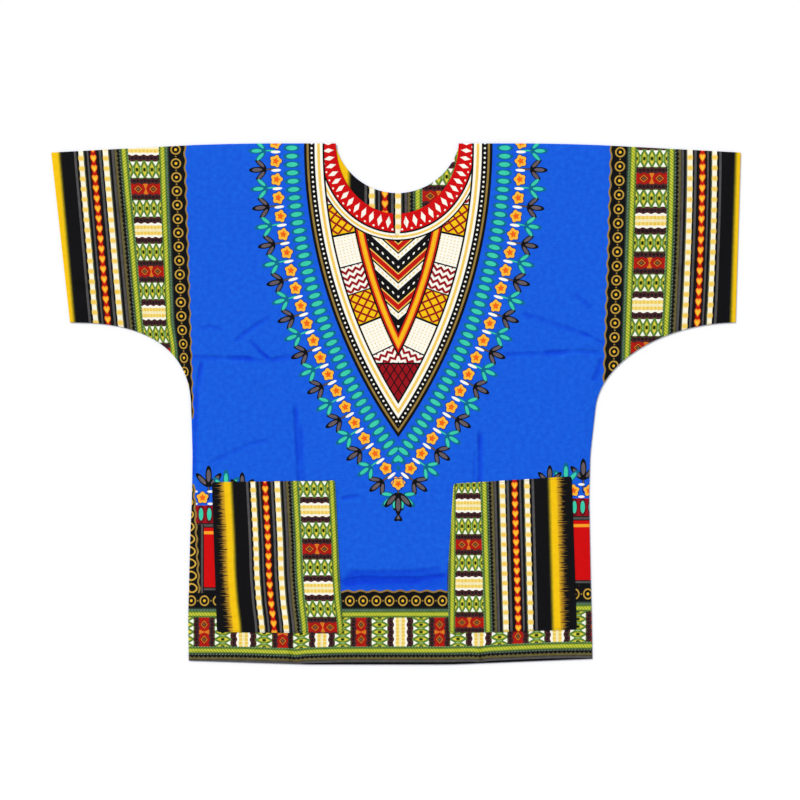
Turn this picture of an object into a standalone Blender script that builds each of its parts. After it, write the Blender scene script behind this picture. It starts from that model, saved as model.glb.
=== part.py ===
"""A short-sleeved dashiki shirt laid out flat on a surface, front side up.

The shirt is cut in the kimono way: each sleeve is one piece with the body. The back lies on the surface,
the front lies on it and stands a little off it between the seams, two patch pockets lie on the front, and
the facing of the back neck shows inside the neck opening, which is cut deeper in front and has a short slit.

Frame: metres, +X to the right of someone who looks down at the front, +Y towards the shoulders, +Z up.
The origin is the middle of the bounding box, on the surface that the back lies on.
"""

import math

import bmesh
import bpy

# Cloth
CLOTH = 0.0012  # wall of the front, the back and the pockets
FACING_CLOTH = 0.0010
SEAM_GAP = 0.0003  # air between pieces that touch

# The cut
LENGTH = 0.807  # highest point of the shoulder to lowest point of the hem
SLEEVE_SPAN = 1.068  # from one sleeve hem to the other, along the shoulders
MIDDLE_X = 0.002  # middle line of the neck and its slit
SHOULDER_LEVEL = 0.215  # the shoulder runs level this far out, then drops
SHOULDER_DROP = 0.014
UNDERARM_START = 0.390  # above the hem, where the side seam starts to turn into the sleeve
CUFF_BOTTOM = 0.530  # above the hem, where the sleeve hem ends

# Side seam: height above the hem, and x on the left and on the right
SIDE_SEAM = (
    {"height": 0.000, "left": -0.321, "right": 0.304},
    {"height": 0.080, "left": -0.322, "right": 0.303},
    {"height": 0.160, "left": -0.320, "right": 0.301},
    {"height": 0.260, "left": -0.316, "right": 0.299},
    {"height": 0.340, "left": -0.315, "right": 0.301},
    {"height": UNDERARM_START, "left": -0.317, "right": 0.308},
)
# Sleeve: x of the lower corner of its hem, and how square the underarm curve is (2 is an ellipse)
SLEEVES = {
    "left": {"cuff_corner": -0.505, "squareness": 2.48},
    "right": {"cuff_corner": 0.526, "squareness": 1.92},
}
# Hem: it runs level to a distance from the middle, then rises to the side seam
HEM = {
    "left": {"level": 0.120, "rise": 0.006},
    "right": {"level": 0.060, "rise": 0.009},
}

# Neck
BACK_NECK_RADIUS = 0.099
BACK_NECK_CENTRE_ABOVE_SHOULDER = 0.022
FRONT_NECK_HALF_WIDTH = 0.095
FRONT_NECK_DEPTH = 0.109
SLIT_HALF_WIDTH = 0.0065
SLIT_WIDEST_DEPTH = 0.118  # below the shoulder
SLIT_BOTTOM_DEPTH = 0.147
FACING_WIDTH = 0.072

# Patch pockets: corners as x, y, from the upper one nearest the side seam, going round.
# The inner edge of the right one bows towards the middle, so it has a corner halfway.
POCKETS = {
    "pocket_left": ((-0.285, -0.121), (-0.094, -0.118), (-0.082, -0.355), (-0.277, -0.353)),
    "pocket_right": (
        (0.272, -0.112), (0.089, -0.123), (0.079, -0.270), (0.082, -0.355), (0.280, -0.349),
    ),
}
POCKET_CORNER_RADIUS = 0.004

# How the front lies: it stands off the back between its seams, and keeps the folds it was packed with
PUFF_HEIGHT = 0.0022
PUFF_EDGE = 0.060  # from a seam to where the front is nearly at its full height
WAVE_HEIGHT = 0.0006
WAVE_LENGTHS = (0.310, 0.230)  # across and along
FOLD_HALF_WIDTH = 0.009
# Press folds: a line from one end to the other, and the height of its ridge
PRESS_FOLDS = (
    {"from": (-0.310, 0.074), "to": (0.315, 0.074), "height": 0.0009},
    {"from": (-0.145, -0.020), "to": (-0.145, -0.390), "height": 0.0008},
    {"from": (0.130, -0.020), "to": (0.130, -0.390), "height": 0.0008},
    {"from": (-0.100, -0.260), "to": (0.100, -0.260), "height": 0.0009},
)
# Drag lines that run in from the underarms
DRAG_FOLDS = (
    {"from": (-0.330, 0.120), "to": (-0.200, 0.020), "height": 0.0009},
    {"from": (-0.355, 0.150), "to": (-0.225, 0.150), "height": 0.0008},
    {"from": (0.330, 0.120), "to": (0.215, 0.030), "height": 0.0009},
    {"from": (0.370, 0.150), "to": (0.240, 0.155), "height": 0.0008},
)
DRAG_HALF_WIDTH = 0.020

GRID_STEP = 0.027  # spacing of the points that the front is bent on
OUTLINE_STEP = 0.024  # spacing of points along the long edges
ARC_STEP = 0.010  # spacing of points along the neck

BODY_BLUE = (0.012, 0.115, 0.760, 1.0)
BORDER_GREEN = (0.180, 0.240, 0.035, 1.0)
CLOTH_ROUGHNESS = 0.82

HALF_LENGTH = LENGTH / 2
HALF_SPAN = SLEEVE_SPAN / 2
BACK_TOP = CLOTH
FACING_BOTTOM = BACK_TOP + SEAM_GAP
FACING_TOP = FACING_BOTTOM + FACING_CLOTH
FACING_LIFT = FACING_CLOTH + SEAM_GAP
FACING_RADIUS = BACK_NECK_RADIUS + FACING_WIDTH


def eased(share):
    """A rise from 0 to 1 that starts and ends level."""
    share = min(max(share, 0.0), 1.0)
    return share * share * (3 - 2 * share)


def steps_between(start, end, step):
    """Evenly spaced values from start to end, both included, at most a step apart."""
    count = max(1, math.ceil(abs(end - start) / step))
    return [start + (end - start) * i / count for i in range(count + 1)]


# ---- The outline ----


def shoulder_y(x):
    out = max(0.0, abs(x) - SHOULDER_LEVEL) / (HALF_SPAN - SHOULDER_LEVEL)
    return HALF_LENGTH - SHOULDER_DROP * out**1.5


def side_x(side, height):
    """x of a side seam at a height above the hem."""
    rows = SIDE_SEAM
    for low, high in zip(rows, rows[1:]):
        if height <= high["height"]:
            share = (height - low["height"]) / (high["height"] - low["height"])
            return low[side] + (high[side] - low[side]) * eased(share)
    return rows[-1][side]


def hem_y(side, x):
    hem = HEM[side]
    corner = abs(SIDE_SEAM[0][side])
    out = max(0.0, abs(x) - hem["level"]) / (corner - hem["level"])
    return -HALF_LENGTH + hem["rise"] * out**1.5


def side_line(side):
    """The body's edge from the hem corner up to the lower corner of the sleeve hem."""
    corner_x = SIDE_SEAM[0][side]
    hem_height = hem_y(side, corner_x) + HALF_LENGTH
    points = [
        (side_x(side, height), height - HALF_LENGTH)
        for height in steps_between(hem_height, UNDERARM_START, 3 * OUTLINE_STEP)
    ]
    start_x = SIDE_SEAM[-1][side]
    reach = SLEEVES[side]["cuff_corner"] - start_x
    rise = CUFF_BOTTOM - UNDERARM_START
    power = 2 / SLEEVES[side]["squareness"]
    for angle in steps_between(0.0, math.pi / 2, math.radians(6.5))[1:]:
        out = 1 - math.cos(angle) ** power
        up = math.sin(angle) ** power
        points.append((start_x + reach * out, UNDERARM_START + rise * up - HALF_LENGTH))
    return points


def shoulder_line(side, neck_x):
    """The top edge from the upper corner of the sleeve hem in to the neck."""
    cuff_x = -HALF_SPAN if side == "left" else HALF_SPAN
    return [(x, shoulder_y(x)) for x in steps_between(cuff_x, neck_x, 2 * OUTLINE_STEP)]


def hem_line():
    """The bottom edge from just inside the right hem corner to just inside the left one."""
    right = [(x, hem_y("right", x)) for x in steps_between(SIDE_SEAM[0]["right"], 0.0, OUTLINE_STEP)]
    left = [(x, hem_y("left", x)) for x in steps_between(0.0, SIDE_SEAM[0]["left"], OUTLINE_STEP)]
    return right[1:] + left[1:-1]


def back_neck():
    """The back's neckline, an arc, from left to right."""
    rise = BACK_NECK_CENTRE_ABOVE_SHOULDER
    half_width = math.sqrt(BACK_NECK_RADIUS**2 - rise**2)
    start = math.atan2(rise, half_width)
    angles = steps_between(start, math.pi - start, ARC_STEP / BACK_NECK_RADIUS)
    return [
        (
            MIDDLE_X - BACK_NECK_RADIUS * math.cos(angle),
            HALF_LENGTH + rise - BACK_NECK_RADIUS * math.sin(angle),
        )
        for angle in angles
    ]


def slit_half_width(depth):
    below = max(0.0, depth - SLIT_WIDEST_DEPTH) / (SLIT_BOTTOM_DEPTH - SLIT_WIDEST_DEPTH)
    return SLIT_HALF_WIDTH * math.sqrt(max(0.0, 1 - below**2))


def front_neck():
    """The front's neckline, half an ellipse with a slit at its lowest point, from left to right."""
    slit_angle = math.acos(SLIT_HALF_WIDTH / FRONT_NECK_HALF_WIDTH)
    half = [
        (FRONT_NECK_HALF_WIDTH * math.cos(angle), FRONT_NECK_DEPTH * math.sin(angle))
        for angle in steps_between(0.0, slit_angle, ARC_STEP / FRONT_NECK_DEPTH)
    ]
    for depth in steps_between(half[-1][1], SLIT_BOTTOM_DEPTH, 0.006)[1:-1]:
        half.append((slit_half_width(depth), depth))
    left = [(MIDDLE_X - x, HALF_LENGTH - depth) for x, depth in half]
    right = [(MIDDLE_X + x, HALF_LENGTH - depth) for x, depth in reversed(half)]
    return left + [(MIDDLE_X, HALF_LENGTH - SLIT_BOTTOM_DEPTH)] + right


def body_outline(neck):
    """The edge of the front or the back, anticlockwise, with this neckline from left to right."""
    left_shoulder = shoulder_line("left", neck[0][0])
    right_shoulder = shoulder_line("right", neck[-1][0])
    return (
        side_line("right")
        + right_shoulder[:-1]
        + list(reversed(neck))
        + list(reversed(left_shoulder[:-1]))
        + list(reversed(side_line("left")))
        + list(reversed(hem_line()))
    )


def facing_outline():
    """The facing: a band round the back neckline, cut off at the shoulders."""
    inner = back_neck()
    rise = BACK_NECK_CENTRE_ABOVE_SHOULDER
    start = math.atan2(rise, math.sqrt(FACING_RADIUS**2 - rise**2))
    angles = steps_between(math.pi - start, start, ARC_STEP / BACK_NECK_RADIUS)
    outer = [
        (
            MIDDLE_X - FACING_RADIUS * math.cos(angle),
            HALF_LENGTH + rise - FACING_RADIUS * math.sin(angle),
        )
        for angle in angles
    ]
    return inner + outer


def rounded(corners, radius):
    """A polygon with each corner cut round."""
    points = []
    for i, (x, y) in enumerate(corners):
        ends = []
        for other_x, other_y in (corners[i - 1], corners[(i + 1) % len(corners)]):
            away = math.hypot(other_x - x, other_y - y)
            ends.append((x + (other_x - x) * radius / away, y + (other_y - y) * radius / away))
        for share in (0.0, 0.5, 1.0):
            a, b, c = (1 - share) ** 2, 2 * share * (1 - share), share**2
            points.append(
                tuple(a * ends[0][k] + b * (x, y)[k] + c * ends[1][k] for k in range(2))
            )
    return points


# ---- How the front lies ----


def distance_to_line(x, y, start, end):
    """Distance to a line between two points, and how far along it the nearest point is, from 0 to 1."""
    run_x, run_y = end[0] - start[0], end[1] - start[1]
    along = ((x - start[0]) * run_x + (y - start[1]) * run_y) / (run_x**2 + run_y**2)
    along = min(max(along, 0.0), 1.0)
    return math.hypot(x - start[0] - along * run_x, y - start[1] - along * run_y), along


def seam_distance(x, y, outline):
    return min(
        distance_to_line(x, y, start, end)[0]
        for start, end in zip(outline, outline[1:] + outline[:1])
    )


def ridge(x, y, fold, half_width):
    """A fold's height at a point: highest on its line, and fading out at its ends."""
    away, along = distance_to_line(x, y, fold["from"], fold["to"])
    end_fade = eased(min(along, 1 - along) * 6)
    return fold["height"] * end_fade * eased(1 - away / half_width)


def front_lift(x, y, outline):
    """How far the front's underside stands above the back's upper side."""
    puff = 1 - math.exp(-2.5 * seam_distance(x, y, outline) / PUFF_EDGE)
    wave_x, wave_y = (2 * math.pi / length for length in WAVE_LENGTHS)
    wave = 0.5 + 0.5 * math.sin(wave_x * x + 1.1) * math.cos(wave_y * y - 0.6)
    from_neck = math.hypot(x - MIDDLE_X, y - HALF_LENGTH - BACK_NECK_CENTRE_ABOVE_SHOULDER)
    over_facing = 1 - eased((from_neck - FACING_RADIUS - 2 * GRID_STEP) / GRID_STEP)
    folds = sum(ridge(x, y, fold, FOLD_HALF_WIDTH) for fold in PRESS_FOLDS)
    folds += sum(ridge(x, y, fold, DRAG_HALF_WIDTH) for fold in DRAG_FOLDS)
    settled = puff * (PUFF_HEIGHT * (1 - 0.5 * over_facing) + WAVE_HEIGHT * wave + folds)
    return SEAM_GAP + FACING_LIFT * over_facing + settled


def grid_lines(half_reach, fold_places):
    """Positions across the front: evenly spaced, with three more on each fold that crosses them squarely."""
    edge = half_reach + 0.5 * GRID_STEP
    even = steps_between(-edge, edge, GRID_STEP)
    on_folds = [p + k * FOLD_HALF_WIDTH for p in fold_places for k in (-1, 0, 1)]
    clear = 0.6 * FOLD_HALF_WIDTH
    kept = [p for p in even if all(abs(p - q) > clear for q in on_folds)]
    return sorted(kept + on_folds)


# ---- Making the solids ----


def new_object(name, bm, material):
    mesh = bpy.data.meshes.new(name)
    bm.normal_update()
    bm.to_mesh(mesh)
    bm.free()
    obj = bpy.data.objects.new(name, mesh)
    bpy.context.scene.collection.objects.link(obj)
    if material:
        mesh.materials.append(material)
    return obj


def prism(name, outline, low, high, material=None):
    """A flat plate, or a cutter, with this outline between two heights."""
    bm = bmesh.new()
    face = bm.faces.new([bm.verts.new((x, y, low)) for x, y in outline])
    raised = bmesh.ops.extrude_face_region(bm, geom=[face])
    top = [item for item in raised["geom"] if isinstance(item, bmesh.types.BMVert)]
    bmesh.ops.translate(bm, vec=(0, 0, high - low), verts=top)
    bmesh.ops.recalc_face_normals(bm, faces=bm.faces)
    return new_object(name, bm, material)


def bent_slab(name, lifts, low, high, material):
    """A sheet that is bent over the grid, between two heights above the front's underside."""
    xs = sorted({x for x, _ in lifts})
    ys = sorted({y for _, y in lifts})
    bm = bmesh.new()
    rows = [[bm.verts.new((x, y, BACK_TOP + lifts[x, y] + low)) for x in xs] for y in ys]
    for lower, upper in zip(rows, rows[1:]):
        for i in range(len(xs) - 1):
            bm.faces.new((lower[i], lower[i + 1], upper[i + 1]))
            bm.faces.new((lower[i], upper[i + 1], upper[i]))
    sheet = list(bm.faces)
    raised = bmesh.ops.extrude_face_region(bm, geom=sheet)
    top = [item for item in raised["geom"] if isinstance(item, bmesh.types.BMVert)]
    bmesh.ops.translate(bm, vec=(0, 0, high - low), verts=top)
    bmesh.ops.recalc_face_normals(bm, faces=bm.faces)
    return new_object(name, bm, material)


def cut_to(obj, outline):
    """Cuts a bent sheet to an outline, seen from above."""
    cutter = prism(obj.name + "_cut_line", outline, -0.02, 0.05)
    cutter.hide_render = True
    cutter.display_type = "WIRE"
    cut = obj.modifiers.new("cut", "BOOLEAN")
    cut.operation = "INTERSECT"
    cut.solver = "EXACT"
    cut.object = cutter


def cloth_material(name, colour):
    material = bpy.data.materials.new(name)
    material.use_nodes = True
    shader = material.node_tree.nodes["Principled BSDF"]
    shader.inputs["Base Color"].default_value = colour
    shader.inputs["Roughness"].default_value = CLOTH_ROUGHNESS
    shader.inputs["Metallic"].default_value = 0.0
    return material


def main():
    for obj in list(bpy.data.objects):
        bpy.data.objects.remove(obj)
    body_cloth = cloth_material("body_cloth", BODY_BLUE)
    border_cloth = cloth_material("border_cloth", BORDER_GREEN)

    front_edge = body_outline(front_neck())
    across = grid_lines(HALF_SPAN, [fold["from"][0] for fold in PRESS_FOLDS[1:3]])
    along = grid_lines(HALF_LENGTH, [PRESS_FOLDS[0]["from"][1], PRESS_FOLDS[3]["from"][1]])
    lifts = {(x, y): front_lift(x, y, front_edge) for x in across for y in along}

    prism("back_panel", body_outline(back_neck()), 0.0, BACK_TOP, body_cloth)
    prism("neck_facing", facing_outline(), FACING_BOTTOM, FACING_TOP, border_cloth)
    cut_to(bent_slab("front_panel", lifts, 0.0, CLOTH, body_cloth), front_edge)
    for name, corners in POCKETS.items():
        low = CLOTH + SEAM_GAP
        pocket = bent_slab(name, lifts, low, low + CLOTH, border_cloth)
        cut_to(pocket, rounded(corners, POCKET_CORNER_RADIUS))


main()
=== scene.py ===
# %% [markdown]
# # A dashiki shirt, laid out flat
#
# The shirt is cut in the kimono way: each sleeve is one piece with the body. It lies on its back, with the
# front, two patch pockets and the facing of the back neck laid over each other. The model that is loaded
# first gives the place and size of each piece, and this lesson dresses it: thin cloth with soft creases, a
# printed cotton for each panel, and lines of stitching.
#
# Everything is in metres: +X is to the right of someone who looks down at the front, +Y points to the
# shoulders, and +Z is up from the table. Only the print and the tables of creases are in mm.

# %% Load the frame
import inspect
import math

import bmesh
import bpy
from mathutils import Matrix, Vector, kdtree, noise


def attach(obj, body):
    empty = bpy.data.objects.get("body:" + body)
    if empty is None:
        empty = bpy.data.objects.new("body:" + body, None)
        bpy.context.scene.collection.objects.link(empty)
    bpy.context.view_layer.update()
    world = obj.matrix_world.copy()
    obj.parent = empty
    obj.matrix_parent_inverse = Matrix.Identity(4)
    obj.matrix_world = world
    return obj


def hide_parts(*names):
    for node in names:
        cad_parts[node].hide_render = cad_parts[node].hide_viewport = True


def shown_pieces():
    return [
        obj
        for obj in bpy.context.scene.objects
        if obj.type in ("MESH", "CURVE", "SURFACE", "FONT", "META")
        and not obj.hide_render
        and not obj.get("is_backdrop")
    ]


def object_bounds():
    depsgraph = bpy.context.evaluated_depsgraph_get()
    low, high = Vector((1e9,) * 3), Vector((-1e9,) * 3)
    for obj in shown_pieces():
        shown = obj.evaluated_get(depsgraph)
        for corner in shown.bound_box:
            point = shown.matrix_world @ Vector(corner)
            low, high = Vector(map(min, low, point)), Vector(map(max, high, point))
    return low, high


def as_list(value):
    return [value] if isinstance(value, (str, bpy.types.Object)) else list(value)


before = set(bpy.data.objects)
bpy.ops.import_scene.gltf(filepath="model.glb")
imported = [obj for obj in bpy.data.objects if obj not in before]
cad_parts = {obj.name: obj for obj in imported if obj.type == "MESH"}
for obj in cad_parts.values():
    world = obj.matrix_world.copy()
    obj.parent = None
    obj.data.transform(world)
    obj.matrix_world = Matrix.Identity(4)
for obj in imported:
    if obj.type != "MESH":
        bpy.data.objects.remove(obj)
frame_box = [list(corner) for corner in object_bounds()]
print("pieces of the frame:", ", ".join(sorted(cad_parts)))
print("size of the frame, mm:", [round(1000 * (b - a), 1) for a, b in zip(*frame_box)])

# %% [markdown]
# ## Where we look from
#
# The shirt is seen from straight above, through a long lens. On a thing this flat the exact distance
# matters little. The lens is worked out from the width of table that the picture takes in.

# %% Camera
SEEN_WIDTH = 1.240
SEEN_MIDDLE = 0.0062
CAMERA_HEIGHT = 3.000
SENSOR = 36.0
scene = bpy.context.scene


def add_object(name, data):
    made = bpy.data.objects.new(name, data)
    scene.collection.objects.link(made)
    return made


camera_data = bpy.data.cameras.new("camera")
camera_data.sensor_width = SENSOR
camera_data.lens = SENSOR * CAMERA_HEIGHT / SEEN_WIDTH
camera = add_object("camera", camera_data)
camera.location = (SEEN_MIDDLE, SEEN_MIDDLE, CAMERA_HEIGHT)
scene.camera = camera
print("lens, mm:", round(camera_data.lens, 1))

# %% [markdown]
# ## Light and table
#
# Soft light from all round shows the colours of a print evenly. One broad light from the upper left is
# added, because a crease only shows where one of its sides is lit more than the other. The plain "Standard"
# view keeps the dyes as strong as they are mixed.

# %% Light
ROOM_LIGHT = 0.56
KEY_LIGHT = 2.10
KEY_SPREAD = math.radians(16)
KEY_TILT = (math.radians(-32), math.radians(-34), 0.0)
scene.view_settings.view_transform = "Standard"
world = bpy.data.worlds.new("soft_room")
scene.world = world
world.use_nodes = True
sky = world.node_tree.nodes["Background"].inputs
sky["Color"].default_value = (1.0, 1.0, 1.0, 1.0)
sky["Strength"].default_value = ROOM_LIGHT
key_data = bpy.data.lights.new("broad_light", "SUN")
key_data.energy = KEY_LIGHT
key_data.angle = KEY_SPREAD
add_object("broad_light", key_data).rotation_euler = KEY_TILT
print("room light:", ROOM_LIGHT, "broad light:", KEY_LIGHT)

# %% Table
TABLE_HALF_WIDTH = 6.0
TABLE_LOOK = {"Base Color": (0.98, 0.98, 0.98, 1.0), "Roughness": 0.9, "Specular IOR Level": 0.1}
floor_mesh = bpy.data.meshes.new("table_top")
bm = bmesh.new()
bmesh.ops.create_grid(bm, x_segments=1, y_segments=1, size=TABLE_HALF_WIDTH)
bm.to_mesh(floor_mesh)
bm.free()
table = add_object("table_top", floor_mesh)
table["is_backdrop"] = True
table_finish = bpy.data.materials.new("table_finish")
table_finish.use_nodes = True
for key, given in TABLE_LOOK.items():
    table_finish.node_tree.nodes["Principled BSDF"].inputs[key].default_value = given
floor_mesh.materials.append(table_finish)
print("table, m:", 2 * TABLE_HALF_WIDTH)

# %% [markdown]
# ## Sizes of the cut
#
# These are the few sizes of the pattern pieces that later steps need again.

# %% Sizes
HALF_LENGTH = 0.807 / 2
HALF_SPAN = 0.534
MIDDLE_X = 0.002
CLOTH = 0.0012
SEAM_GAP, LEAST_GAP = 0.0003, 0.0002
WALL = 0.0010
FACING_WALL = 0.0008
EDGE_ROUND = 0.0008
FACING_LIFT = 0.0013
BACK_NECK_RISE = 0.022
FACING_RADIUS = 0.171
NECK_HALF_WIDTH = 0.095
NECK_DEPTH = 0.109
SLIT_HALF_WIDTH = 0.0065
SLIT_DEPTH = 0.147


def eased(share):
    """A rise from 0 to 1 that starts and ends level."""
    share = min(max(share, 0.0), 1.0)
    return share * share * (3 - 2 * share)


print("cloth wall, mm:", 1000 * WALL)

# %% [markdown]
# ## The outline of a piece
#
# Each panel of the frame is already cut to its true outline. A copy of its mesh is merged, only the faces
# that look up are kept, and they are pressed flat and dissolved into one big face. Its long curves are
# divided and smoothed a little, so that they don't look like chains of straight bits; true corners stay
# where they are.

# %% One flat face from a panel of the frame
STRAIGHT = math.radians(0.4)
CORNER = 28  # degrees
BORDER_STEP = 0.004


def flat_outline(node):
    bm = bmesh.new()
    bm.from_mesh(node.data)
    bmesh.ops.remove_doubles(bm, verts=bm.verts, dist=1e-5)
    bm.normal_update()
    away = [face for face in bm.faces if face.normal.z < 0.5]
    bmesh.ops.delete(bm, geom=away, context="FACES")
    for vert in bm.verts:
        vert.co.z = 0.0
    inner = [edge for edge in bm.edges if len(edge.link_faces) > 1]
    bmesh.ops.dissolve_edges(bm, edges=inner, use_verts=False)
    straight = [v for v in bm.verts if v.calc_edge_angle(0.0) < STRAIGHT]
    bmesh.ops.dissolve_verts(bm, verts=straight)
    return bm


def smooth_outline(name, corner=CORNER):
    """The outline of a panel with its border divided, and every bend that isn't a real corner evened out."""
    bm = flat_outline(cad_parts[name])
    corners = [v.co.copy() for v in bm.verts if v.calc_edge_angle(0.0) > math.radians(corner)]
    for edge in list(bm.edges):
        cuts = int(edge.calc_length() / BORDER_STEP)
        if cuts:
            bmesh.ops.subdivide_edges(bm, edges=[edge], cuts=cuts)
    soft = [v for v in bm.verts if min((v.co - place).length for place in corners) > 1e-6]
    for _ in range(6):
        bmesh.ops.smooth_vert(bm, verts=soft, factor=0.5, use_axis_x=True, use_axis_y=True)
    print("  ", name, "border points", len(bm.verts), "corners", len(corners))
    return bm


# %% [markdown]
# ## Cutting a face into a fine grid
#
# Cloth needs many small faces before it can bend, so the big face is cut along lines across and along, like
# ruled paper. Each cut only handles the part that lies ahead of it, which keeps this quick. Where a crease
# runs, the cells are halved again.

# %% Rule lines over a face
SMALLEST_CUT = 0.0012


def cut_ahead(bm, axis, places):
    ahead = bm.verts[:] + bm.edges[:] + bm.faces[:]
    normal = [0.0, 0.0, 0.0]
    normal[axis] = 1.0
    for place in places:
        point = [0.0, 0.0, 0.0]
        point[axis] = place
        cut = bmesh.ops.bisect_plane(bm, geom=ahead, dist=1e-6, plane_co=point, plane_no=normal)
        ahead = []
        for item in cut["geom"]:
            corners = [item] if isinstance(item, bmesh.types.BMVert) else item.verts
            if max(v.co[axis] for v in corners) > place + 1e-6:
                ahead.append(item)


def rule_lines(low, high, step):
    count = max(1, round((high - low) / step))
    return [low + (high - low) * i / count for i in range(1, count)]


def halve_cells(bm, rounds, creases):
    """Halves the cells in and near a crease, once for each margin round it."""
    for margin in rounds:
        edges = []
        for edge in bm.edges:
            middle = (edge.verts[0].co + edge.verts[1].co) / 2
            if edge.calc_length() > SMALLEST_CUT and in_a_crease(middle.x, middle.y, margin, creases):
                edges.append(edge)
        bmesh.ops.subdivide_edges(bm, edges=edges, cuts=1, use_grid_fill=True)
        print("   cells halved along", len(edges), "edges")


# %% [markdown]
# ## Lines of stitching
#
# Every free edge is turned under and sewn down: the sleeve hems, the bottom hem, the neckline with its
# slit, and the pockets. The lines are drawn first, because the cloth dips a little along a seam.

# %% Where the stitches run
CUFF_HEM = 0.013
BOTTOM_HEM = 0.016
NECK_HEM = 0.006
NECK_POINTS = 41
HEM_LEVEL = -HALF_LENGTH + BOTTOM_HEM


def neck_stitch_line():
    half_width, depth = NECK_HALF_WIDTH + NECK_HEM, NECK_DEPTH + NECK_HEM
    stop = math.acos((SLIT_HALF_WIDTH + NECK_HEM) / half_width)
    left = []
    for i in range(NECK_POINTS):
        angle = stop * i / (NECK_POINTS - 1)
        left.append((MIDDLE_X - half_width * math.cos(angle), HALF_LENGTH - depth * math.sin(angle)))
    slit_end = HALF_LENGTH - SLIT_DEPTH
    left.append((MIDDLE_X - SLIT_HALF_WIDTH - NECK_HEM, slit_end + 0.006))
    left.append((MIDDLE_X, slit_end - 0.009))
    return left + [(2 * MIDDLE_X - x, y) for x, y in reversed(left[:-1])]


seam_lines = {
    "neck": neck_stitch_line(),
    "left_cuff": [(-HALF_SPAN + CUFF_HEM, 0.388), (-0.505 + CUFF_HEM, 0.128)],
    "right_cuff": [(HALF_SPAN - CUFF_HEM, 0.388), (0.526 - CUFF_HEM, 0.128)],
    "hem": [
        (-0.319, -0.3825), (-0.18, -0.3870), (-0.06, HEM_LEVEL), (0.06, HEM_LEVEL), (0.18, -0.3850),
        (0.3015, -0.3790),
    ],
}


def spread_along(path, step):
    """Points at an even spacing along a path, each with the direction that the path has there."""
    points, left_over = [], 0.0
    for (ax, ay), (bx, by) in zip(path, path[1:]):
        length = math.hypot(bx - ax, by - ay)
        along = left_over
        while along < length:
            share = along / length
            points.append((ax + (bx - ax) * share, ay + (by - ay) * share, math.atan2(by - ay, bx - ax)))
            along += step
        left_over = along - length
    return points


def near_points(points):
    """A function that gives the distance from a place to the nearest of many points."""
    tree = kdtree.KDTree(len(points))
    for i, point in enumerate(points):
        tree.insert((point[0], point[1], 0.0), i)
    tree.balance()
    return lambda x, y: tree.find((x, y, 0.0))[2]


seam_distance = near_points([p for path in seam_lines.values() for p in spread_along(path, 0.0015)])
print("stitch lines:", ", ".join(seam_lines))

# %% [markdown]
# ## Creases
#
# The shirt was folded in a packet, and keeps two kinds of crease: sharp press folds, nearly straight, and
# softer drag lines that run in from the underarms. A simulation would give folds in other places each time,
# so they are listed one by one. A trough is steeper on the side towards the upper left, as a fold that was
# pressed one way is, and a slow noise makes its depth uneven along the path. A negative depth is a ridge.
# The back has the same two kinds, a little elsewhere, and they rise off the table into the room under the
# front.

# %% The creases, in mm
COLUMNS = ("depth", "half", "path")
FRONT_ROWS = (
    (1.5, 6.8, ((-326, 73.5), (-290, 73.2), (-254, 71.3), (-233, 72.2), (-217, 69))),
    (0.8, 5, ((-236, 72), (-203, 67))),
    (1.2, 6, ((-197.5, 68), (-172.5, 73.2), (-150, 73.5))),
    (0.9, 6, ((165, 77), (195, 78.4), (230, 79.5))),
    (1.5, 6.6, ((222, 79), (250, 81.2), (286, 82.5), (322, 80.2))),
    (1.4, 6.2, ((-300, 70), (-305, 45.6), (-309.5, 15), (-312.5, -60))),
    (1.4, 6.6, ((-157.5, 10), (-154, -50), (-150.4, -116.3), (-150, -150))),
    (1, 5, ((-148, -20), (-145.5, -80), (-143.2, -116.3), (-143, -140))),
    (1.4, 6.2, ((129, -35), (129.4, -80), (129, -116.3), (129, -150))),
    (0.7, 5, ((121.5, -70), (120.5, -130))),
    (1.2, 6, ((-163.5, -350), (-164, -403.5))),
    (1.2, 6, ((130.5, -350), (131, -403.5))),
    (1, 6, ((-254, 95), (-235, 110.5), (-214, 124.5), (-190, 138.5))),
    (1.5, 5.2, ((-229, 101), (-211.6, 82.9), (-192.5, 68))),
    (0.5, 5.8, ((-305, 117), (-289.9, 121.2), (-277.5, 119.4), (-265, 112))),
    (0.7, 6, ((-290, -93), (-254.4, -73.6), (-225.8, -61.2), (-190, -53))),
    (0.8, 8, ((-312.5, -45), (-315, -115))),
    (0.8, 6.5, ((190, 142), (218.6, 133.9), (246.1, 124.9), (290, 110))),
    (1.5, 5.6, ((282, 113), (305, 103.5), (326, 91.5))),
    (0.8, 7, ((274, 174), (305, 148))),
    (1.2, 7.2, ((318, 74), (312, 53), (304, 33))),
    (1, 8, ((-84, -259), (-30, -260.5), (30, -259), (76, -254))),
    (2.3, 8.5, ((-90, -276), (-50, -270.5), (10, -271.2), (45, -271.5))),
    (1.2, 6, ((28, -270.5), (56, -266.5), (82, -264))),
    # a broad, shallow trough whose depth shows mostly as painted shade across this strip
    (1.2, 22, ((-95, -272), (0, -274), (95, -270))),
    (0.9, 5.5, ((-86, -146), (-70, -142.5), (-54, -141))),
    (-0.8, 20, ((-330, 120), (-200, 20))),
    (-0.8, 20, ((330, 120), (215, 30))),
    (0.6, 14, ((-470, 330), (-345, 245))),
    (0.6, 14, ((455, 300), (360, 255))),
    (0.7, 11, ((-505, 190), (-420, 168))),
    (0.7, 11, ((510, 235), (430, 205))),
)
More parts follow.
